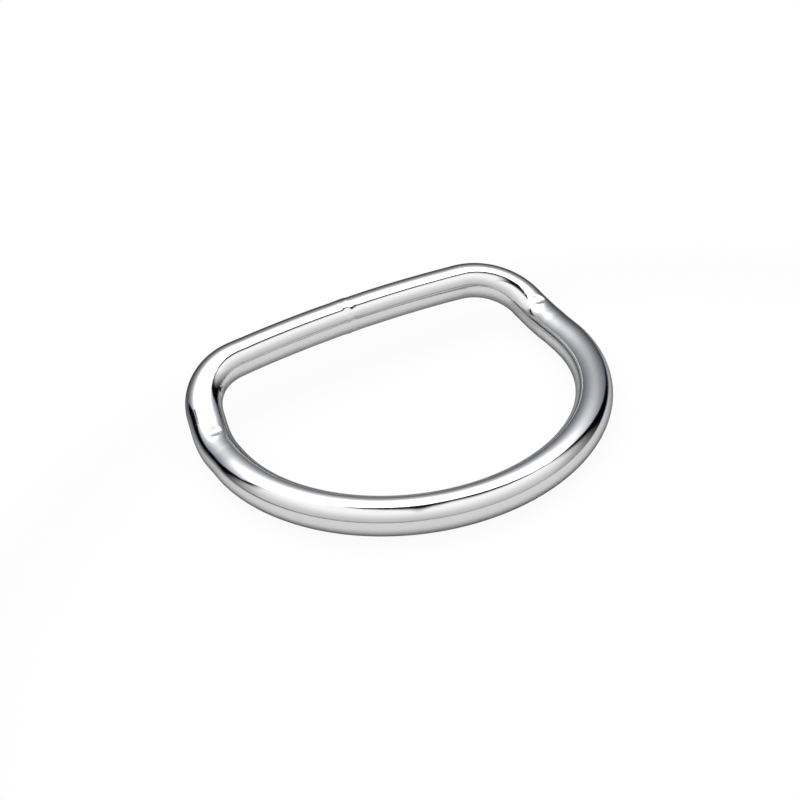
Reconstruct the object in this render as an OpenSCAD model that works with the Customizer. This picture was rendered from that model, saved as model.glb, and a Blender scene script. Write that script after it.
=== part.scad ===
// Bent D ring of round wire, welded in the middle of its bar and folded across both legs.
// The bow lies flat at z = 0 and points to -Y, and the bar stands up at the back, along X.

/* [Wire] */
// Diameter of the round wire where it stays straight
wire_d = 5.2; // [3:0.1:7]
// Extra radius of the wire in its bends, where the metal is squeezed together
bend_gain = 0.06; // [0.06:0.01:0.2]
// Inside width between the legs at the fold, for webbing of this width
inner_w = 50; // [38:1:80]

/* [Outline] */
// Radius of the bar, which bows out a little, on its centre line
bar_r = 200; // [150:10:800]
// Inside radius of the two corners beside the bar
corner_in_r = 6.4; // [3:0.1:14]
// Angle by which the raised legs splay outwards on their way to the fold
corner_splay = 10.5; // [2:0.5:20]
// How much further in the bow starts than the legs at the fold, on each side
bow_ease = 0.15; // [0.05:0.05:2]
// Distance from the fold to the centre of the bow
leg_l = 5.7; // [4:0.1:40]
// Straight wire between corner and fold, on the side where it is shorter
raised_straight = 0.2; // [0.1:0.1:20]

/* [Fold] */
// Angle at which the bar's plane rises from the bow's plane
fold_angle = 24; // [8:1:60]
// Angle between the fold line and the bar, since the ring was folded a little out of square
fold_skew = 2; // [0:0.5:5]
// Bend radius of the wire at the fold, on its centre line
fold_r = 12; // [4:0.5:16]
// Radius of the tool's rounded nose, which left a nick across each leg
nick_r = 1.7; // [0.6:0.1:3]
// Depth of each nick
nick_depth = 0.3; // [0.1:0.05:0.6]

/* [Weld] */
// Length of the swollen butt weld in the middle of the bar
weld_l = 2.8; // [1:0.1:6]
// Length of the level top of that swelling
weld_top_l = 0.8; // [0.2:0.1:0.9]
// Height of the swelling above the wire
weld_h = 0.12; // [0.05:0.01:0.3]

/* [Hidden] */
wire_fn = 48;
bend_fn = 160;

// Each end of a straight stretch runs this far into the thicker bend beside it.
seam_overlap = 0.3;

wire_r = wire_d / 2;
bend_wire_r = wire_r + bend_gain;
// The bar is bent so gently that its wire gains half as much.
bar_wire_r = wire_r + bend_gain / 2;
half_w = (inner_w + wire_d) / 2;
corner_r = corner_in_r + bend_wire_r;
bow_r = half_w - bow_ease;

// The wire's centre line is laid out flat round the middle of the fold line, and what lies behind
// that line is then turned up.
fold_line = [cos(fold_skew), sin(fold_skew), 0];
bow_centre = [0, -leg_l, 0];

function unit(v) = v / norm(v);
function turn(from, to) = acos(unit(from) * unit(to));

// Length of the straight wire that a bend of radius r and the given turn takes on each side of its vertex
function setback(r, angle) = r * tan(angle / 2);

// A point of the flat outline, turned up about the fold line
function raised(p) =
    p * cos(fold_angle)
    + cross(fold_line, p) * sin(fold_angle)
    + fold_line * (fold_line * p) * (1 - cos(fold_angle));

// Below, side is 1 on the right leg and -1 on the left leg.
// Vertex of the fold
function fold_point(side) = side * half_w * [1, tan(fold_skew), 0];

// Angle round the bow's centre at which the straight leg meets the bow
function bow_end_angle(side) =
    let (v = fold_point(side) - bow_centre)
    atan2(v.y, v.x) - side * acos(bow_r / norm(v));

function bow_end(side) =
    bow_centre + bow_r * [cos(bow_end_angle(side)), sin(bow_end_angle(side)), 0];

// Directions in the flat outline of the leg on its way from the corner, and from there to the inside
function splayed(side) = [side * sin(corner_splay), -cos(corner_splay), 0];
function inwards(side) = [-side * cos(corner_splay), -sin(corner_splay), 0];

// Directions of the wire before and after the fold, on its way from the bar to the bow
function raised_dir(side) = raised(splayed(side));
function leg_dir(side) = unit(bow_end(side) - fold_point(side));
function fold_turn(side) = turn(raised_dir(side), leg_dir(side));

// Centre of the corner in the flat outline, where its bend ends this far from the fold's vertex
function corner_centre(side, run) =
    fold_point(side) - splayed(side) * run + inwards(side) * corner_r;

// The corner touches the bar's arc from inside, so their centres lie this far apart.
centres_apart = bar_r - corner_r;

// Distance that one side's bends need between the fold line's middle and the bar
function reach_needed(side) =
    let (c = corner_centre(side, raised_straight + setback(fold_r, fold_turn(side))))
    c.y - sqrt(pow(centres_apart, 2) - pow(c.x, 2)) + bar_r;

bar_reach = max(reach_needed(1), reach_needed(-1));
bar_centre = [0, bar_reach - bar_r, 0];
bar_middle = raised([0, bar_reach, 0]);
bar_dir = raised([1, 0, 0]);

// Length of the leg from the fold's vertex to the corner that touches the bar's arc
function raised_run(side) =
    let (v = corner_centre(side, 0) - bar_centre, past = v * splayed(side))
    past + sqrt(pow(past, 2) - v * v + pow(centres_apart, 2));

// Angle round the bar's centre from its middle to the corner
function bar_turn(side) =
    let (v = corner_centre(side, raised_run(side)) - bar_centre)
    atan2(side * v.x, v.y);

// Directions from a centre to the wire and along the wire, at an angle past the middle of the bar
function out_at(side, angle) = raised([side * sin(angle), cos(angle), 0]);
function along_at(side, angle) = raised([side * cos(angle), -sin(angle), 0]);

// The origin is under the middle of the whole ring.
back_y = bar_middle.y + wire_r + weld_h;
front_y = bow_centre.y - bow_r - bend_wire_r;
middle_y = (back_y + front_y) / 2;

// Stands its children, modelled along +Z, at point p along direction v
module along(p, v) {
    translate(p) rotate([0, turn([0, 0, 1], v), atan2(v.y, v.x)]) children();
}

module straight_wire(p, q) {
    v = q - p;
    along(p - unit(v) * seam_overlap, v)
        cylinder(h = norm(v) + 2 * seam_overlap, r = wire_r, $fn = wire_fn);
}

// Wire of radius r_wire, bent by an angle round a centre. From there, out points to the bend's start,
// where the wire runs along u.
module bent_wire(centre, out, u, r, angle, r_wire) {
    up = cross(out, u);
    multmatrix([
        [out.x, u.x, up.x, centre.x],
        [out.y, u.y, up.y, centre.y],
        [out.z, u.z, up.z, centre.z],
        [0, 0, 0, 1]
    ])
        rotate_extrude(angle = angle, $fn = bend_fn) translate([r, 0]) circle(r = r_wire, $fn = wire_fn);
}

// Bend that rounds the vertex at p, where the wire turns from direction u to direction v
module bend(p, u, v, r) {
    angle = turn(u, v);
    inward = unit(v - u * (u * v));
    bent_wire(p - u * setback(r, angle) + inward * r, -inward, u, r, angle, bend_wire_r);
}

// The short stretch of the bar that swells in the weld is straight and turned as one shape.
module weld() {
    half_l = weld_l / 2;
    along(bar_middle, bar_dir)
        rotate_extrude($fn = wire_fn)
            polygon([
                [0, -half_l - seam_overlap],
                [wire_r, -half_l - seam_overlap],
                [wire_r, -half_l],
                [wire_r + weld_h, -weld_top_l / 2],
                [wire_r + weld_h, weld_top_l / 2],
                [wire_r, half_l],
                [wire_r, half_l + seam_overlap],
                [0, half_l + seam_overlap]
            ]);
}

// Half of the bowed bar, from the weld to a little way into the corner
module half_bar(side) {
    start = atan(weld_l / 2 / bar_r);
    end = bar_turn(side) + atan(seam_overlap / bar_r);
    bent_wire(raised(bar_centre), out_at(side, start), along_at(side, start), bar_r, end - start, bar_wire_r);
}

module corner(side) {
    start = bar_turn(side);
    bent_wire(
        raised(corner_centre(side, raised_run(side))),
        out_at(side, start),
        along_at(side, start),
        corner_r,
        90 - corner_splay - start,
        bend_wire_r
    );
}

module raised_leg(side) {
    straight_wire(
        fold_point(side) - raised_dir(side) * raised_run(side),
        fold_point(side) - raised_dir(side) * setback(fold_r, fold_turn(side))
    );
}

module fold_bend(side) {
    bend(fold_point(side), raised_dir(side), leg_dir(side), fold_r);
}

module leg(side) {
    straight_wire(fold_point(side) + leg_dir(side) * setback(fold_r, fold_turn(side)), bow_end(side));
}

module bow() {
    first = bow_end_angle(-1);
    translate(bow_centre)
        rotate([0, 0, first])
            rotate_extrude(angle = bow_end_angle(1) + 360 - first, $fn = bend_fn)
                translate([bow_r, 0])
                    circle(r = bend_wire_r, $fn = wire_fn);
}

// Rounded tool nose, laid along the fold line and pressed into the inside of the fold
module nick(side) {
    inward = unit(leg_dir(side) - raised_dir(side));
    wire_middle = fold_point(side) + inward * fold_r * (1 / cos(fold_turn(side) / 2) - 1);
    fold_up = raised([0, 0, 1]) + [0, 0, 1];
    nose = wire_middle + unit(fold_up) * (bend_wire_r - nick_depth + nick_r);
    along(nose - fold_line * wire_d / 2, fold_line) cylinder(h = wire_d, r = nick_r, $fn = wire_fn);
}

module ring() {
    color("silver")
        translate([0, -middle_y, bend_wire_r])
            difference() {
                union() {
                    weld();
                    bow();
                    for (side = [-1, 1]) {
                        half_bar(side);
                        corner(side);
                        raised_leg(side);
                        fold_bend(side);
                        leg(side);
                    }
                }
                for (side = [-1, 1])
                    nick(side);
            }
}

ring();
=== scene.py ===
# %% [markdown]
# A bent D ring, such as a harness or a dog collar has. On the real object one length of round
# stainless steel wire is bent to a D, butt welded in the middle of its bar, and pressed across
# both legs, so that the bar stands up from the bow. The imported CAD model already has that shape
# with exact bends. Here the wire is drawn out again as one smooth skin, because the facets in the
# nicks, the lumps on the weld and the drawing lines are too fine for the CAD solid.

# %% Load the frame
from math import acos, atan2, cos, exp, radians, sin, sqrt, tan

import bpy
from mathutils import Matrix, Vector


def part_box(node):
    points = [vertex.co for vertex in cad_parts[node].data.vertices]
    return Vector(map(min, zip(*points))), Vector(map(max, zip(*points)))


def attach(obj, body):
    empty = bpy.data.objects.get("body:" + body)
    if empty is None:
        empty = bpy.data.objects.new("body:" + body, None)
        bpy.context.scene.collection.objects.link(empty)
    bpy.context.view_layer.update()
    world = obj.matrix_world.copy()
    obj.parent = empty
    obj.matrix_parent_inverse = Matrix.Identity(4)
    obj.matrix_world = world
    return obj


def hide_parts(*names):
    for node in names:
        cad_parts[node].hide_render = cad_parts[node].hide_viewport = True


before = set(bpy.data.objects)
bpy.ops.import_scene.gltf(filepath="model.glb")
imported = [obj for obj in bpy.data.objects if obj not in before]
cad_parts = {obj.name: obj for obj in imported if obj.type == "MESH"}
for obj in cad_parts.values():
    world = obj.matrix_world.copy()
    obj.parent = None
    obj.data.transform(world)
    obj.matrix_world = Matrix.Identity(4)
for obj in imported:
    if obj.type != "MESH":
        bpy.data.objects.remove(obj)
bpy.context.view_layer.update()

# Blender's unit is the metre, so each length below is given in millimetres times MM.
MM = 0.001


def in_mm(place):
    return [round(c / MM, 2) for c in place]


# %% [markdown]
# The sizes are the ring's own, the same as in the CAD source. They could be measured from the
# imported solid, but a wire is easier to draw from the sizes that its maker sets: the thickness of
# the wire, the width between the legs, and the radius of each bend.

# %% Sizes of the ring
wire_d = 5.2 * MM
wire_r = wire_d / 2
# The wire's radius gains this much where it is bent.
bend_gain = 0.06 * MM
bend_wire_r = wire_r + bend_gain
inner_w = 50 * MM
half_w = (inner_w + wire_d) / 2
bar_r = 200 * MM
corner_in_r = 6.4 * MM
corner_r = corner_in_r + bend_wire_r
# The legs lean in towards the corners by this angle.
corner_splay = radians(10.5)
# The bow is this much narrower, on each side, than the ring is at the fold.
bow_ease = 0.15 * MM
bow_r = half_w - bow_ease
leg_l = 5.7 * MM
# At least this much of each leg stays straight between the fold and the corner.
raised_straight = 0.2 * MM
fold_angle = radians(24)
# The fold line is out of square with the bar by this angle.
fold_skew = radians(2)
fold_r = 12 * MM
print("wire and inside width in mm:", in_mm((wire_d, inner_w)))
print("radii of bar, corner, bow and fold in mm:", in_mm((bar_r, corner_r, bow_r, fold_r)))

# %% [markdown]
# A wire bender thinks in straight stretches and bends, and so does this path. A curve object could
# follow it too, but these few functions put each bend exactly where the CAD has it. The outline is
# laid out flat round the middle of the fold line, and everything behind that line is then turned
# up. The bar bows out a little, and each corner touches its arc from inside. Side is 1 on the
# right leg and -1 on the left leg.

# %% Places on the bow's side of the fold
fold_line = Vector((cos(fold_skew), sin(fold_skew), 0))
turned_up = Matrix.Rotation(fold_angle, 3, fold_line)
bow_centre = Vector((0, -leg_l, 0))


def setback(radius, angle):
    """Length of straight wire that a bend takes on each side of its vertex."""
    return radius * tan(angle / 2)


def fold_point(side):
    """Vertex of the fold, where the wire would turn if it had no bend radius."""
    return side * half_w * Vector((1, tan(fold_skew), 0))


def bow_end_angle(side):
    """Angle round the bow's centre at which the straight leg meets the bow."""
    v = fold_point(side) - bow_centre
    return atan2(v.y, v.x) - side * acos(bow_r / v.length)


def bow_end(side):
    angle = bow_end_angle(side)
    return bow_centre + bow_r * Vector((cos(angle), sin(angle), 0))


def leg_dir(side):
    """Direction of the wire from the fold to the bow."""
    return (bow_end(side) - fold_point(side)).normalized()


print("the legs end at", in_mm(bow_end(1)), "and", in_mm(bow_end(-1)), "mm")

# %% [markdown]
# Behind the folds the legs lean inwards a little and end in the corners. A corner could be placed
# by eye and then nudged until it meets the bar. Here its centre follows from the direction of the
# leg and from the run of wire between the fold and the corner, so the bends always meet smoothly.


# %% Places on the bar's side of the fold
def splayed(side):
    """Direction of the leg from the corner to the fold, in the flat outline."""
    return Vector((side * sin(corner_splay), -cos(corner_splay), 0))


def raised_dir(side):
    """The same direction, turned up."""
    return turned_up @ splayed(side)


def fold_turn(side):
    """Angle by which the wire turns in the fold."""
    return raised_dir(side).angle(leg_dir(side))


def corner_centre(side, run):
    """Centre of the corner in the flat outline, where its bend ends this far from the fold."""
    inwards = Vector((-side * cos(corner_splay), -sin(corner_splay), 0))
    return fold_point(side) - splayed(side) * run + inwards * corner_r


print("the folds turn by", round(fold_turn(1), 3), "and", round(fold_turn(-1), 3), "radians")

# %% [markdown]
# The bar carries the webbing. Both legs could be made equally long, but the bar would then stand
# askew, and on the real ring it is the fold that does. So the bar lies as far back as the side
# with less room needs, and the leg on the other side is a little longer.

# %% Place of the bar
# The corner touches the bar's arc from inside, so their centres lie this far apart.
centres_apart = bar_r - corner_r


def reach_needed(side):
    """Distance that one side's bends need between the fold line's middle and the bar."""
    c = corner_centre(side, raised_straight + setback(fold_r, fold_turn(side)))
    return c.y - sqrt(centres_apart ** 2 - c.x ** 2) + bar_r


bar_reach = max(reach_needed(1), reach_needed(-1))
bar_centre = Vector((0, bar_reach - bar_r, 0))


def raised_run(side):
    """Length of the leg from the fold to the corner that touches the bar's arc."""
    v = corner_centre(side, 0) - bar_centre
    past = v.dot(splayed(side))
    return past + sqrt(past ** 2 - v.dot(v) + centres_apart ** 2)


def bar_turn(side):
    """Angle round the bar's centre from its middle to the corner."""
    v = corner_centre(side, raised_run(side)) - bar_centre
    return atan2(side * v.x, v.y)


bar_middle = turned_up @ Vector((0, bar_reach, 0))
bar_dir = turned_up @ Vector((1, 0, 0))
print("bar bows out by", round(bar_r * (1 - cos(bar_turn(1))) / MM, 2), "mm")

# %% [markdown]
# All places so far are counted from the middle of the fold line, which suits the bends. The packed
# model's origin is on the surface that the bow lies on, under the middle of the whole ring. The
# finished mesh could be moved there, but when the path itself is moved, each place stays known.

# %% Place of the whole ring
# The weld stands out from the back of the bar by this much.
weld_h = 0.12 * MM
back_y = bar_middle.y + wire_r + weld_h
front_y = bow_centre.y - bow_r - bend_wire_r
# The path is moved so that the origin is under the middle of the whole ring.
to_row = Vector((0, -(back_y + front_y) / 2, bend_wire_r))

box_low, box_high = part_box("ring")
print("ring from", round(front_y / MM, 2), "to", round(back_y / MM, 2), "mm along Y before it is moved")
print("front edge off the CAD box by", round((front_y + to_row.y - box_low.y) / MM, 3), "mm")

# %% [markdown]
# The camera stands where the photograph was taken from: above the ring and to its left, tilted a
# little, and four ring widths off with a longish lens, as for a catalogue picture of a small thing.
# It could be given three rotations, but two angles round the ring and a roll are easier to fit.

# %% Camera
camera_azimuth = radians(-25.46)
camera_height_angle = radians(34.75)
camera_roll = radians(-5.88)
camera_distance = 238.0 * MM
camera_aim = Vector((-0.84, 4.48, 2.66)) * MM
camera_lens, camera_sensor = 74.63, 36

looking = Vector((
    -sin(camera_azimuth) * cos(camera_height_angle),
    cos(camera_azimuth) * cos(camera_height_angle),
    -sin(camera_height_angle),
))
camera_turn = looking.to_track_quat("-Z", "Y").to_matrix() @ Matrix.Rotation(camera_roll, 3, "Z")
bpy.ops.object.camera_add(location=camera_aim - looking * camera_distance, rotation=camera_turn.to_euler())
camera = bpy.context.object
camera.name = "camera"
camera.data.lens = camera_lens
camera.data.sensor_width = camera_sensor
camera.data.clip_start = 10 * MM
bpy.context.scene.camera = camera
print("camera at", in_mm(camera.location), "mm")

# %% [markdown]
# Two small helpers serve every node tree below. Colours are written as sRGB hex values, as a
# painter picks them, and turned to the linear values that the shaders use. Nodes could be added
# line by line, but one function that takes a node's links and values together reads like a recipe.


# %% Helpers for nodes and colours
def linear(hex_code):
    """Linear RGBA of an sRGB hex colour."""
    channels = [int(hex_code[i:i + 2], 16) / 255 for i in (1, 3, 5)]
    return [c / 12.92 if c <= 0.04045 else ((c + 0.055) / 1.055) ** 2.4 for c in channels] + [1]


def add_node(tree, kind, inputs, stops=(), **settings):
    """Adds a node, sets it up, and gives each input a value or another node's output.

    Stops are the places and RGBA colours along a colour ramp.
    """
    node = tree.nodes.new(kind)
    for name, value in settings.items():
        setattr(node, name, value)
    if stops:
        elements = node.color_ramp.elements
        while len(elements) < len(stops):
            elements.new(0.5)
        # All the stops get their places before any gets its colour.
        for element, (place, _) in zip(elements, stops):
            element.position = place
        for element, (_, colour) in zip(elements, stops):
            element.color = colour
    for socket, value in inputs.items():
        if isinstance(value, bpy.types.NodeSocket):
            tree.links.new(value, node.inputs[socket])
        else:
            node.inputs[socket].default_value = value
    return node


print("mid grey is", round(linear("#808080")[0], 3), "in linear light")

# %% [markdown]
# The floor is a sheet of white acrylic, matt enough that the ring throws no reflection in it. A
# plain white plane would do for the camera, but the steel mirrors the floor as well, and there the
# sheet should look darker towards the back. So shade is painted into its colour: its tone falls off
# with the distance from a place in front of the ring, in place of light that falls off towards the
# back.

# %% Floor
floor_size = 4
sheet_tone = "#D8D8D8"
lit_place = Vector((4, -60, 0)) * MM
falloff_end = 160 * MM
painted_shade_rows = [
    # distance in mm, brightness as a share of the brightest
    (78, 1.0),
    (87, 0.8),
    (97, 0.45),
    (108, 0.28),
    (150, 0.14),
]
bpy.ops.object.select_all(action="DESELECT")
bpy.ops.mesh.primitive_plane_add(size=floor_size)
floor = bpy.context.object
floor.name = "floor"
acrylic = bpy.data.materials.new("white_acrylic_sheet")
acrylic.use_nodes = True
tree = acrylic.node_tree
tree.nodes.clear()
on_sheet = add_node(tree, "ShaderNodeTexCoord", {}).outputs["Object"]
from_lit = add_node(tree, "ShaderNodeVectorMath", {0: on_sheet, 1: lit_place},
                    operation="DISTANCE").outputs["Value"]
outwards = add_node(tree, "ShaderNodeMapRange", {"Value": from_lit, "From Max": falloff_end}).outputs[0]
# Painted shade: the sheet's base colour darkens with the distance from the lit place.
painted_shade_ramp = add_node(tree, "ShaderNodeValToRGB", {"Fac": outwards}, stops=[
    (distance * MM / falloff_end, [lit * c for c in linear(sheet_tone)[:3]] + [1])
    for distance, lit in painted_shade_rows
])
sheet = add_node(tree, "ShaderNodeBsdfPrincipled",
                 {"Base Color": painted_shade_ramp.outputs[0], "Roughness": 0.9, "Specular IOR Level": 0.1})
print("the sheet gets darker from", painted_shade_rows[0][0], "mm to", painted_shade_rows[-1][0], "mm")

# %% [markdown]
# The camera sees the sheet almost as white as the backdrop, with a faint shadow under the ring. A
# brighter light would whiten it too, but it would also whiten the steel. So a white glow is mixed
# in for the camera alone: nearly all of it close to the ring, and all of it further back.

# %% White for the camera
white_near, white_far = 84 * MM, 100 * MM
white_under_ring = 0.93
glow = add_node(tree, "ShaderNodeEmission", {"Color": (1, 1, 1, 1), "Strength": 1.0})
ray = add_node(tree, "ShaderNodeLightPath", {})
white_share = add_node(tree, "ShaderNodeMapRange", {
    "Value": from_lit,
    "From Min": white_near,
    "From Max": white_far,
    "To Min": white_under_ring,
    "To Max": 1.0,
}).outputs[0]
lit_share = add_node(tree, "ShaderNodeMath", {0: ray.outputs["Is Camera Ray"], 1: white_share},
                     operation="MULTIPLY").outputs[0]
lit_sheet = add_node(tree, "ShaderNodeMixShader", {0: lit_share, 1: sheet.outputs[0], 2: glow.outputs[0]})
add_node(tree, "ShaderNodeOutputMaterial", {"Surface": lit_sheet.outputs[0]})
floor.data.materials.append(acrylic)
print("floor is", floor_size, "m wide, and", white_under_ring, "of its tone by the ring is white")

# %% [markdown]
# Polished steel has hardly a colour of its own: it shows what stands round it. Catalogue pictures
# of such things are taken in a light tent, and its parts can be read in the ring: bright cloth
# overhead and behind, duller cloth on the camera's side, and a dark gap between the two that
# arches over the ring from left to right. A tent could be modelled and lit with lamps. Here it is
# the world's shader, a direction in and a brightness out, because it stays soft and has no noise.

# %% The tent's directions
tent = bpy.data.worlds.new("light_tent")
bpy.context.scene.world = tent
tent.use_nodes = True
tree = tent.node_tree
tree.nodes.clear()
tent_azimuth = radians(25)
tent_back = (sin(tent_azimuth), cos(tent_azimuth), 0)
tent_right = (cos(tent_azimuth), -sin(tent_azimuth), 0)
direction = add_node(tree, "ShaderNodeTexCoord", {}).outputs["Generated"]
back = add_node(tree, "ShaderNodeVectorMath", {0: direction, 1: tent_back},
                operation="DOT_PRODUCT").outputs["Value"]
right = add_node(tree, "ShaderNodeVectorMath", {0: direction, 1: tent_right},
                 operation="DOT_PRODUCT").outputs["Value"]
height = add_node(tree, "ShaderNodeSeparateXYZ", {0: direction}).outputs["Z"]
print("the tent's back is towards", [round(c, 3) for c in tent_back])

# %% [markdown]
# The gap follows an arch. Each row below gives an angle across the arch, from the left over the
# top to the right, how far back the gap's middle lies there, and half its width, both as shares
# of a whole direction. A chain of nodes for each stretch would be long, so one colour ramp with a
# stop for each row joins them smoothly: its red is the middle and its green the half width.

# %% The dark gap
gap_rows = [
    # angle across, how far back, half width
    (-100, 0.42, 0.16),
    (-88, 0.37, 0.15),
    (-82, 0.34, 0.14),
    (-76, 0.31, 0.13),
    (-71, 0.25, 0.09),
    (-67, 0.20, 0.07),
    (-62, 0.13, 0.05),
    (-57, 0.13, 0.035),
    (-50, 0.12, 0.015),
    (-42, 0.05, 0.004),
    (-28, -0.10, 0.004),
    (-20, -0.06, 0.006),
    (-14, -0.075, 0.055),
    (-8, -0.11, 0.08),
    (-3, -0.145, 0.105),
    (2, -0.19, 0.16),
    (7, -0.10, 0.11),
    (12, -0.04, 0.075),
    (19, -0.04, 0.075),
    (27, -0.01, 0.055),
    (33, 0.02, 0.035),
    (39, 0.08, 0.025),
    (43, 0.14, 0.035),
    (47, 0.21, 0.06),
    (52, 0.265, 0.08),
    (57, 0.315, 0.10),
    (62, 0.36, 0.12),
    (68, 0.42, 0.15),
    (74, 0.485, 0.21),
    (80, 0.54, 0.25),
    (87, 0.595, 0.29),
]
arch_end = 110
# A ramp holds no negative number, so the middle is kept with this much added.
shift = 0.5
across = add_node(tree, "ShaderNodeMath", {0: right, 1: height}, operation="ARCTAN2").outputs[0]
arch_share = add_node(tree, "ShaderNodeMapRange", {
    "Value": across,
    "From Min": radians(-arch_end),
    "From Max": radians(arch_end),
}).outputs[0]
gap = add_node(tree, "ShaderNodeValToRGB", {"Fac": arch_share}, stops=[
    ((angle + arch_end) / (2 * arch_end), (middle + shift, half_width, 0, 1))
    for angle, middle, half_width in gap_rows
])
gap.color_ramp.interpolation = "EASE"
print("gap has", len(gap.color_ramp.elements), "stops")

# %% [markdown]
# For its colours the gap needs one number: how far a direction lies behind its middle, in half
# widths. Each edge could have nodes of its own, but with this one number the gap fades alike where
# it is wide and where it is narrow.

# %% Place in the gap
gap_parts = add_node(tree, "ShaderNodeSeparateColor", {0: gap.outputs["Color"]})
gap_middle = add_node(tree, "ShaderNodeMath", {0: gap_parts.outputs[0], 1: shift},
                      operation="SUBTRACT").outputs[0]
past_middle = add_node(tree, "ShaderNodeMath", {0: back, 1: gap_middle}, operation="SUBTRACT").outputs[0]
# 0 in the middle of the gap, -1 at its front edge and 1 at its back edge
in_gap = add_node(tree, "ShaderNodeMath", {0: past_middle, 1: gap_parts.outputs[1]},
                  operation="DIVIDE").outputs[0]
widest = max(gap_rows, key=lambda row: row[2])
print("the gap is widest at", widest[0], "degrees across")

# %% [markdown]
# The gap is black in its middle. Towards the front it fades through brown over a few half widths,
# and its back edge is sharp, with a blue fringe such as a lens gives beside a dark band. A plain
# black strip would be simpler, but it would look painted on the wire.

# %% The gap's colours
gap_from, gap_to = -4, 2
gap_stops = [
    # place in the gap, colour, strength
    (-3.6, "#4A4238", 0.0),
    (-2.8, "#40382E", 0.20),
    (-1.94, "#342C24", 0.45),
    (-1.54, "#241E18", 0.66),
    (-1.14, "#140F0A", 0.86),
    (-0.74, "#060504", 1.0),
    (0.5, "#02040C", 1.0),
    (0.9, "#1C2C6A", 0.9),
    (1.2, "#8A94C0", 0.0),
]
gap_share = add_node(tree, "ShaderNodeMapRange",
                     {"Value": in_gap, "From Min": gap_from, "From Max": gap_to}).outputs[0]
gap_colour = add_node(tree, "ShaderNodeValToRGB", {"Fac": gap_share}, stops=[
    ((place - gap_from) / (gap_to - gap_from), linear(colour)[:3] + [strength])
    for place, colour, strength in gap_stops
])
print("the gap's colours run from", gap_stops[0][0], "to", gap_stops[-1][0], "half widths")

# %% [markdown]
# The cloth on the camera's side gets brighter with height, from a shaded hem to a lit roof, and a
# little warmer where it is shaded. One even colour could serve, but then the wire would look flat:
# these slow changes are what makes it look round.

# %% Cloth in front
front_brightest = 1.45
front_warmth = 0.04
# The brightness also rises by this much of how far back the cloth hangs.
front_slope = 0.10
front_rows = [
    # height, brightness as a share of the brightest cloth in front
    (0.0, 0.36),
    (0.05, 0.44),
    (0.12, 0.53),
    (0.30, 0.60),
    (0.47, 0.70),
    (0.64, 0.84),
    (0.84, 1.0),
]


def warm_tone(share):
    warm = 1 - front_warmth * (1 - share)
    return share, share * (1 + warm) / 2, share * warm, 1


from_front = add_node(tree, "ShaderNodeMath", {0: back, 1: front_slope, 2: front_slope},
                      operation="MULTIPLY_ADD").outputs[0]
up_the_front = add_node(tree, "ShaderNodeMath", {0: from_front, 1: height}, operation="ADD").outputs[0]
front_tones = add_node(tree, "ShaderNodeValToRGB", {"Fac": up_the_front},
                       stops=[(place, warm_tone(share)) for place, share in front_rows]).outputs[0]
front_cloth = add_node(tree, "ShaderNodeVectorMath", {0: front_tones, "Scale": front_brightest},
                       operation="SCALE").outputs[0]
print("cloth in front from", round(front_rows[0][1] * front_brightest, 2), "to", front_brightest)

# %% [markdown]
# The cloth behind catches most of the light near its top. So it gets brighter with height far more
# steeply, is a little cooler in the shade, and is brighter towards its sides. In a studio a lamp
# behind the cloth does this. Here a second colour ramp does, because each of its stops can be set
# by itself until the reflections look right.

# %% Cloth behind
back_brightest = 3.2
back_coolness = 0.05
# The cloth is brighter towards its sides, counted from a little right of the middle.
sides_from = 0.15
sides_gain = 0.13
back_rows = [
    # height, brightness as a share of the brightest cloth behind
    (0.0, 0.060),
    (0.17, 0.070),
    (0.34, 0.105),
    (0.50, 0.165),
    (0.60, 0.25),
    (0.68, 0.36),
    (0.76, 0.60),
    (0.84, 1.0),
]


def cool_tone(share):
    cool = 1 - back_coolness * (1 - share)
    return share * cool, share * (1 + cool) / 2, share * (2 - cool), 1


off_middle = add_node(tree, "ShaderNodeMath", {0: right, 1: sides_from}, operation="SUBTRACT").outputs[0]
aside = add_node(tree, "ShaderNodeMath", {0: off_middle, 1: 2.0}, operation="POWER").outputs[0]
up_the_back = add_node(tree, "ShaderNodeMath", {0: aside, 1: sides_gain, 2: height},
                       operation="MULTIPLY_ADD").outputs[0]
back_tones = add_node(tree, "ShaderNodeValToRGB", {"Fac": up_the_back},
                      stops=[(place, cool_tone(share)) for place, share in back_rows]).outputs[0]
back_cloth = add_node(tree, "ShaderNodeVectorMath", {0: back_tones, "Scale": back_brightest},
                      operation="SCALE").outputs[0]
print("cloth behind from", round(back_rows[0][1] * back_brightest, 2), "to", back_brightest)

# %% [markdown]
# The parts are laid over each other: first the two cloths, and then the gap on top of them, as
# solid as its strength says. The camera itself sees a plain white backdrop instead, as a catalogue
# picture has. A white card behind the ring would give that too, but the steel would mirror it.

# %% Put the tent together
behind = add_node(tree, "ShaderNodeMath", {0: in_gap, 1: 0.0}, operation="GREATER_THAN").outputs[0]
cloth = add_node(tree, "ShaderNodeMix", {"Factor": behind, 6: front_cloth, 7: back_cloth},
                 data_type="RGBA").outputs[2]
seen = add_node(tree, "ShaderNodeMix",
                {"Factor": gap_colour.outputs["Alpha"], 6: cloth, 7: gap_colour.outputs["Color"]},
                data_type="RGBA").outputs[2]
tent_light = add_node(tree, "ShaderNodeBackground", {"Color": seen})
plain_white = add_node(tree, "ShaderNodeBackground", {"Color": (1, 1, 1, 1)})
ray = add_node(tree, "ShaderNodeLightPath", {})
backdrop = add_node(tree, "ShaderNodeMixShader",
                    {0: ray.outputs["Is Camera Ray"], 1: tent_light.outputs[0], 2: plain_white.outputs[0]})
add_node(tree, "ShaderNodeOutputWorld", {"Surface": backdrop.outputs[0]})
bpy.context.scene.view_settings.view_transform = "Standard"
print("the tent has", len(tree.nodes), "nodes")

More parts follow.
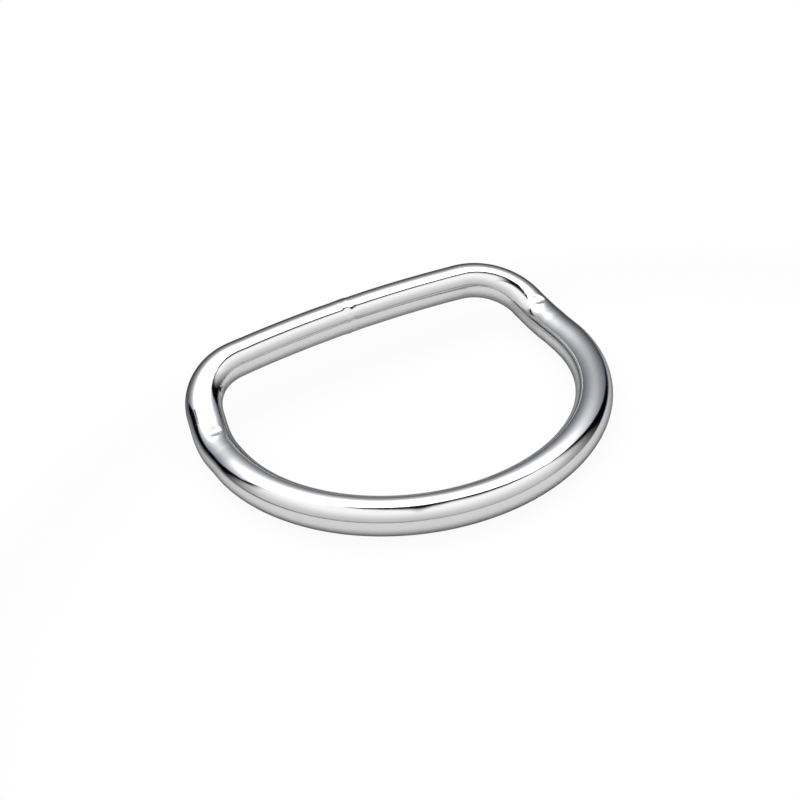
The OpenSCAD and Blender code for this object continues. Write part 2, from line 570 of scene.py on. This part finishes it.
# %% [markdown]
# The wire is made the way a wire bender makes it. A round section is extruded along the straight
# stretches and spun round a former at each bend, from the middle of the bar to the right, round
# the bow and back. A curve with a round bevel would be shorter, but here each ring of vertices is
# known by its distance along the wire, which later places the nicks, the weld and the drawing
# lines.

# %% How to draw the wire
around = 128
fold_steps = 44
# Distance of each ring of vertices along the wire, and how much it belongs to a bend
stations = [0.0]
bent = [0.0]


def run_straight(start, end, steps):
    """Extrudes the open end of the wire along a straight stretch."""
    step = (end - start) / steps
    for _ in range(steps):
        bpy.ops.mesh.extrude_region_move(TRANSFORM_OT_translate={"value": step})
        stations.append(stations[-1] + step.length)
        bent.append(0.0)


def run_bend(former, radius, axis, angle, steps, squeeze=1.0):
    """Spins the open end of the wire round a former, anticlockwise as seen against the axis."""
    # Spin turns clockwise about its axis, so it gets the opposite one.
    bpy.ops.mesh.spin(steps=steps, angle=angle, center=former + to_row, axis=-axis)
    for _ in range(steps):
        stations.append(stations[-1] + radius * angle / steps)
        bent.append(squeeze)


def fold_bend(vertex, before, after):
    """Bends the wire round the vertex of a fold, from one direction into another."""
    angle = before.angle(after)
    inward = (after - before * before.dot(after)).normalized()
    former = vertex - before * setback(fold_r, angle) + inward * fold_r
    run_bend(former, fold_r, before.cross(after).normalized(), angle, fold_steps)


print("each ring has a vertex every", round(radians(360) * wire_r / around / MM, 3), "mm")

# %% [markdown]
# The wire starts where the real one is welded, in the middle of the bar. It could start anywhere
# else, but there the join of its two ends lies inside the weld. The section is a circle, turned to
# face along the bar.

# %% Start in the middle of the bar
bpy.ops.object.select_all(action="DESELECT")
bpy.ops.mesh.primitive_circle_add(vertices=around, radius=wire_r)
wire = bpy.context.object
wire.name = "bent_wire_ring"
section_turn = Vector((0, 0, 1)).rotation_difference(bar_dir).to_matrix().to_4x4()
wire.matrix_world = Matrix.Translation(bar_middle + to_row) @ section_turn
bpy.ops.object.transform_apply(location=True, rotation=True, scale=True)
bpy.ops.object.mode_set(mode="EDIT")
bpy.ops.mesh.select_mode(type="EDGE")
bpy.ops.mesh.select_all(action="SELECT")
print("the section stands at", in_mm(bar_middle + to_row), "mm")

# %% [markdown]
# From there the wire goes along the bar, round the right corner, and over the fold into the leg.
# Equal steps all along would be simpler. But the weld, the folds and the marked corner are shaped
# further and need steps of about 0.1 mm, and so many everywhere would only make the mesh heavy.

# %% Draw the bar and the right leg
weld_l = 2.8 * MM
weld_steps = 14
bar_steps = 24
# The left corner has finer steps, for the mark on it.
corner_steps = {1: 40, -1: 90}
# The bar is bent so gently that its wire gains half as much.
bar_squeeze = 0.5
to_right = turned_up @ Vector((0, 0, -1))
raised_bar_centre = turned_up @ bar_centre
half_weld_turn = weld_l / 2 / bar_r
run_bend(raised_bar_centre, bar_r, to_right, half_weld_turn, weld_steps, squeeze=0.0)
run_bend(raised_bar_centre, bar_r, to_right, bar_turn(1) - half_weld_turn, bar_steps, squeeze=bar_squeeze)
corner_turn = radians(90) - corner_splay - bar_turn(1)
run_bend(turned_up @ corner_centre(1, raised_run(1)), corner_r, to_right, corner_turn, corner_steps[1])
corner_foot = fold_point(1) - raised_dir(1) * raised_run(1)
run_straight(corner_foot, fold_point(1) - raised_dir(1) * setback(fold_r, fold_turn(1)), steps=2)
fold_bend(fold_point(1), raised_dir(1), leg_dir(1))
run_straight(fold_point(1) + leg_dir(1) * setback(fold_r, fold_turn(1)), bow_end(1), steps=10)
print("half the bar and the right leg take", round(stations[-1] / MM, 2), "mm of wire")

# %% [markdown]
# The bow is about half a circle, and a hook slides round it. It could be pieced together from
# several spins, but one spin keeps the curve even, and the long reflections on it show the
# slightest kink. Then the left leg goes up over its own fold.

# %% Draw the bow and the left leg
bow_steps = 140
bow_turn = (bow_end_angle(1) - bow_end_angle(-1)) % radians(360)
run_bend(bow_centre, bow_r, Vector((0, 0, -1)), bow_turn, bow_steps)
run_straight(bow_end(-1), fold_point(-1) + leg_dir(-1) * setback(fold_r, fold_turn(-1)), steps=8)
fold_bend(fold_point(-1), -leg_dir(-1), -raised_dir(-1))
corner_foot = fold_point(-1) - raised_dir(-1) * raised_run(-1)
run_straight(fold_point(-1) - raised_dir(-1) * setback(fold_r, fold_turn(-1)), corner_foot, steps=6)
print("the bow takes", round(bow_turn * bow_r / MM, 2), "mm of wire")

# %% [markdown]
# The last stretch goes round the left corner and back along the bar, and stops one step short of
# the start. One side could be a mirrored copy of the other, but they aren't quite alike: the fold
# line is askew, and the left corner carries a mark.

# %% Draw the left corner and the rest of the bar
corner_turn = radians(90) - corner_splay - bar_turn(-1)
run_bend(turned_up @ corner_centre(-1, raised_run(-1)), corner_r, to_right, corner_turn, corner_steps[-1])
run_bend(raised_bar_centre, bar_r, to_right, bar_turn(-1) - half_weld_turn, bar_steps, squeeze=bar_squeeze)
last_step = half_weld_turn / weld_steps
run_bend(raised_bar_centre, bar_r, to_right, half_weld_turn - last_step, weld_steps - 1, squeeze=0.0)
wire_length = stations[-1] + last_step * bar_r
print(len(stations), "rings of", around, "vertices; the wire is", round(wire_length / MM, 2), "mm long")

# %% [markdown]
# The two open ends now face each other, one step apart, where the real wire is butt welded. They
# could be merged if they met, but a bridge of faces closes them without moving a vertex.

# %% Close the ring
bpy.ops.mesh.select_all(action="DESELECT")
bpy.ops.mesh.select_non_manifold()
bpy.ops.mesh.bridge_edge_loops()
bpy.ops.mesh.select_all(action="SELECT")
bpy.ops.mesh.normals_make_consistent(inside=False)
bpy.ops.mesh.select_all(action="DESELECT")
bpy.ops.mesh.select_non_manifold()
bpy.ops.object.mode_set(mode="OBJECT")
print("open edges left:", sum(e.select for e in wire.data.edges), "of", len(wire.data.edges))

# %% [markdown]
# The wire is a little thicker in its bends, where the metal is squeezed together. Scaling each
# ring by itself would do it, but a Displace modifier pushes the skin out everywhere at once, as
# far as each vertex belongs to the group. The group fades over the ends of each bend.


# %% Thicken the bends
def apply_modifier(name):
    bpy.ops.object.select_all(action="DESELECT")
    bpy.context.view_layer.objects.active = wire
    wire.select_set(True)
    bpy.ops.object.modifier_apply(modifier=name)


def ring_vertices(ring):
    return list(range(ring * around, (ring + 1) * around))


bend_fade = 2 * MM
bends = wire.vertex_groups.new(name="bends")
for ring, distance in enumerate(stations):
    nearby = [share for share, place in zip(bent, stations) if abs(place - distance) < bend_fade]
    bends.add(ring_vertices(ring), sum(nearby) / len(nearby), "REPLACE")
swell = wire.modifiers.new("swell", "DISPLACE")
swell.vertex_group = "bends"
swell.mid_level = 0
swell.strength = bend_gain
apply_modifier("swell")
print("the bow's wire is now", round(2 * bend_wire_r / MM, 2), "mm thick")

# %% [markdown]
# The press that folded the legs left a nick across each leg, with narrow facets in it. A boolean
# cut could make it, but it would tear up the even net of faces. So the nose of the press, a bar
# with many flat sides, is laid in the fold, a Shrinkwrap modifier pushes the skin out of it, and a
# Smooth modifier softens the edges.


# %% Tools for the nicks
def group_near(name, place, reach):
    """Vertex group that fades out from a place over the outer half of its reach."""
    group = wire.vertex_groups.new(name=name)
    for v in wire.data.vertices:
        away = (v.co - place).length / reach
        if away < 1:
            group.add([v.index], min(1, 2 - 2 * away), "REPLACE")


def press(nose, place, reach):
    """Pushes the skin near a place out of the nose, softens the edges, then takes the nose away."""
    group_near("near_nose", place, reach)
    squeeze = wire.modifiers.new("press", "SHRINKWRAP")
    squeeze.target = nose
    squeeze.vertex_group = "near_nose"
    squeeze.wrap_method = "NEAREST_SURFACEPOINT"
    squeeze.wrap_mode = "OUTSIDE"
    soften = wire.modifiers.new("soften", "SMOOTH")
    soften.vertex_group = "near_nose"
    soften.factor = 0.5
    soften.iterations = 2
    apply_modifier("press")
    apply_modifier("soften")
    wire.vertex_groups.remove(wire.vertex_groups["near_nose"])
    bpy.data.objects.remove(nose)


nose_sides = 20
half_side = radians(180 / nose_sides)
nose_lean = radians(3)


def nose_at(middle, along, up, radius, length):
    """A bar with flat sides, laid along a direction, with one of its sides nearly straight down."""
    bpy.ops.object.select_all(action="DESELECT")
    bpy.ops.mesh.primitive_cylinder_add(vertices=nose_sides, radius=radius, depth=length)
    nose = bpy.context.object
    turn = Matrix((up.cross(along), up, along)).transposed().to_4x4()
    nose.matrix_world = Matrix.Translation(middle) @ turn @ Matrix.Rotation(half_side + nose_lean, 4, "Z")
    bpy.ops.object.transform_apply(location=True, rotation=True, scale=True)
    return nose


print("the nose has", nose_sides, "sides")

# %% [markdown]
# Each nick lies across the top of a leg, in the fold, and the right one is a little deeper. The
# nose could be lowered by eye, but its height follows from the nick's depth, counted from the
# wire's own middle. The places of the unpressed skin are kept, to tell later what the press moved.

# %% Press the nicks
nick_r = 1.9 * MM
nick_depths = {1: 0.28 * MM, -1: 0.20 * MM}
# The right nick lies a little nearer to its corner.
nick_shifts = {1: 0.3 * MM, -1: 0.0}
nose_l = 4 * wire_r
press_reach = 1.8 * wire_r
unpressed = [v.co.copy() for v in wire.data.vertices]
for side in (1, -1):
    inward = (leg_dir(side) - raised_dir(side)).normalized()
    wire_middle = fold_point(side) + inward * fold_r * (1 / cos(fold_turn(side) / 2) - 1)
    fold_up = (turned_up @ Vector((0, 0, 1)) + Vector((0, 0, 1))).normalized()
    nose_up = bend_wire_r - nick_depths[side] + nick_r * cos(half_side)
    place = wire_middle + fold_up * nose_up + to_row - raised_dir(side) * nick_shifts[side]
    press(nose_at(place, fold_line, fold_up, nick_r, nose_l), place, press_reach)
    print("nick pressed at", in_mm(place), "mm")

# %% [markdown]
# The pressed skin is duller than the wire, because the tumbling didn't reach it. Painting it by
# hand would need an image, so an attribute notes how far the press moved each vertex instead.

# %% Note the pressed skin
full_press = 0.03 * MM
pressed = wire.data.attributes.new("pressed", "FLOAT", "POINT")
for v, place in zip(wire.data.vertices, unpressed):
    pressed.data[v.index].value = min(1, (v.co - place).length / full_press)
print("pressed vertices:", sum(p.value > 0.5 for p in pressed.data))

# %% [markdown]
# The butt weld swells out a little, and it was dressed by hand, so it isn't even all round. Its
# lumps could be sculpted, but a second Displace modifier with a cloud texture gives them at once,
# fading out on both sides of the weld.

# %% Raise the weld
weld_reach = 1.5 * MM
weld_fade = 1.4
weld = wire.vertex_groups.new(name="weld")
for ring, distance in enumerate(stations):
    from_weld = min(distance, wire_length - distance) / weld_reach
    if from_weld < 2:
        weld.add(ring_vertices(ring), exp(-weld_fade * from_weld ** 2), "REPLACE")
dressing = bpy.data.textures.new("weld_dressing", type="CLOUDS")
dressing.noise_scale = 1.2 * MM
dressing.noise_depth = 1
dressing.contrast = 1.4
raise_weld = wire.modifiers.new("weld", "DISPLACE")
raise_weld.vertex_group = "weld"
raise_weld.texture = dressing
raise_weld.texture_coords = "LOCAL"
raise_weld.mid_level = 0
raise_weld.strength = weld_h
apply_modifier("weld")
print("weld raised by up to", round(weld_h / MM, 2), "mm")

# %% [markdown]
# The left corner has a mark on its inside: a small burr stands out there, and a shallow scuff lies
# beside it. They could be bumps in the material, but the burr is tall enough to show as a shape. So
# each is one more Displace modifier on a small group.

# %% Mark the left corner
burr_place = Vector((-23.06, 16.19, 6.41)) * MM
scuff_place = Vector((-21.94, 17.31, 6.37)) * MM


def raise_spot(place, reach, spot_height):
    """Pushes the skin near a place out, or in where the height is negative."""
    group_near("spot", place, reach)
    spot = wire.modifiers.new("spot", "DISPLACE")
    spot.vertex_group = "spot"
    spot.mid_level = 0
    spot.strength = spot_height
    apply_modifier("spot")
    wire.vertex_groups.remove(wire.vertex_groups["spot"])


raise_spot(burr_place, reach=0.9 * MM, spot_height=0.08 * MM)
raise_spot(scuff_place, reach=0.5 * MM, spot_height=-0.04 * MM)
to_skin = min((v.co - burr_place).length for v in wire.data.vertices)
print("burr's middle is", round(to_skin / MM, 2), "mm from the skin")

# %% [markdown]
# Drawn wire carries faint lines along its whole length, and they turn with it in every bend. A
# pattern on Object coordinates would run straight through the bends. So the skin keeps the place
# that each vertex has on the straight wire, as an attribute: the distance along it, and two
# distances across it.

# %% Note the place on the straight wire
straightened = wire.data.attributes.new("straightened", "FLOAT_VECTOR", "POINT")
for ring, distance in enumerate(stations):
    for k in range(around):
        angle = radians(360) * k / around
        place = (distance, wire_r * cos(angle), wire_r * sin(angle))
        straightened.data[ring * around + k].vector = place
bpy.ops.object.select_all(action="DESELECT")
bpy.context.view_layer.objects.active = wire
wire.select_set(True)
bpy.ops.object.shade_smooth()
print("triangles:", sum(len(p.vertices) - 2 for p in wire.data.polygons))

# %% [markdown]
# The finish is polished stainless steel: cold drawn wire, bent and then tumbled bright. To the eye
# it is a sharp mirror whose reflections waver a little, from the drawing die and the tumbling. A
# plain mirror would look like chrome plating. Two noises give it its life: slow waves, and lines
# along the wire.

# %% Waves and drawing lines
steel = bpy.data.materials.new("polished_drawn_stainless_steel")
steel.use_nodes = True
tree = steel.node_tree
tree.nodes.clear()
# Sizes in mm along the wire and across it. Real drawing lines are finer than can show here.
wave_size = (2.0, 1.6, 1.6)
line_size = (8, 0.15, 0.15)
wave_h = 0.006 * MM
line_h = 0.001 * MM
on_wire = add_node(tree, "ShaderNodeAttribute", {}, attribute_name="straightened").outputs["Vector"]
wave_place = add_node(tree, "ShaderNodeVectorMath", {0: on_wire, 1: [1 / (size * MM) for size in wave_size]},
                      operation="MULTIPLY").outputs[0]
line_place = add_node(tree, "ShaderNodeVectorMath", {0: on_wire, 1: [1 / (size * MM) for size in line_size]},
                      operation="MULTIPLY").outputs[0]
waves = add_node(tree, "ShaderNodeTexNoise", {"Vector": wave_place, "Scale": 1.0, "Detail": 0.0}).outputs[0]
lines = add_node(tree, "ShaderNodeTexNoise", {"Vector": line_place, "Scale": 1.0, "Detail": 2.0}).outputs[0]
wavy = add_node(tree, "ShaderNodeBump", {"Height": waves, "Strength": 1.0, "Distance": wave_h}).outputs[0]
drawn = add_node(tree, "ShaderNodeBump",
                 {"Height": lines, "Strength": 1.0, "Distance": line_h, "Normal": wavy}).outputs[0]
print("waves are", wave_size[0], "mm long, and lines", line_size[1], "mm apart")

# %% [markdown]
# Stainless steel mirrors a little more darkly than chrome, with hardly a tint. The drawing lines
# roughen it slightly, and the pressed skin in the nicks is much duller. The nicks could have a
# material of their own, but its edge would show, so one Mix node fades between the two.

# %% Polished drawn stainless steel
bright_roughness = (0.05, 0.11)
dull_roughness = 0.30
shine = add_node(tree, "ShaderNodeMapRange",
                 {"Value": lines, "To Min": bright_roughness[0], "To Max": bright_roughness[1]}).outputs[0]
dulled = add_node(tree, "ShaderNodeAttribute", {}, attribute_name="pressed").outputs["Fac"]
finish = add_node(tree, "ShaderNodeMix", {"Factor": dulled, 2: shine, 3: dull_roughness},
                  data_type="FLOAT").outputs[0]
steel_skin = add_node(tree, "ShaderNodeBsdfPrincipled", {
    "Base Color": linear("#D1D1D1"),
    "Metallic": 1.0,
    # On a metal this tint dims the rims. Steel mirrors a little less there, but most of it is painted shade:
    # dark rims in place of the shadowed floor under the ring that they mirror.
    "Specular Tint": linear("#9A9C9E"),
    "Roughness": finish,
    "Normal": drawn,
})
add_node(tree, "ShaderNodeOutputMaterial", {"Surface": steel_skin.outputs[0]})
wire.data.materials.clear()
wire.data.materials.append(steel)
print("steel has", len(tree.nodes), "nodes")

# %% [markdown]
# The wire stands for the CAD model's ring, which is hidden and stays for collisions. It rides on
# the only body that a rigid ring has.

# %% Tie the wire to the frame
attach(wire, "root")
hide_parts("ring")
print("the wire stands for the ring, from", in_mm(box_low), "to", in_mm(box_high), "mm")
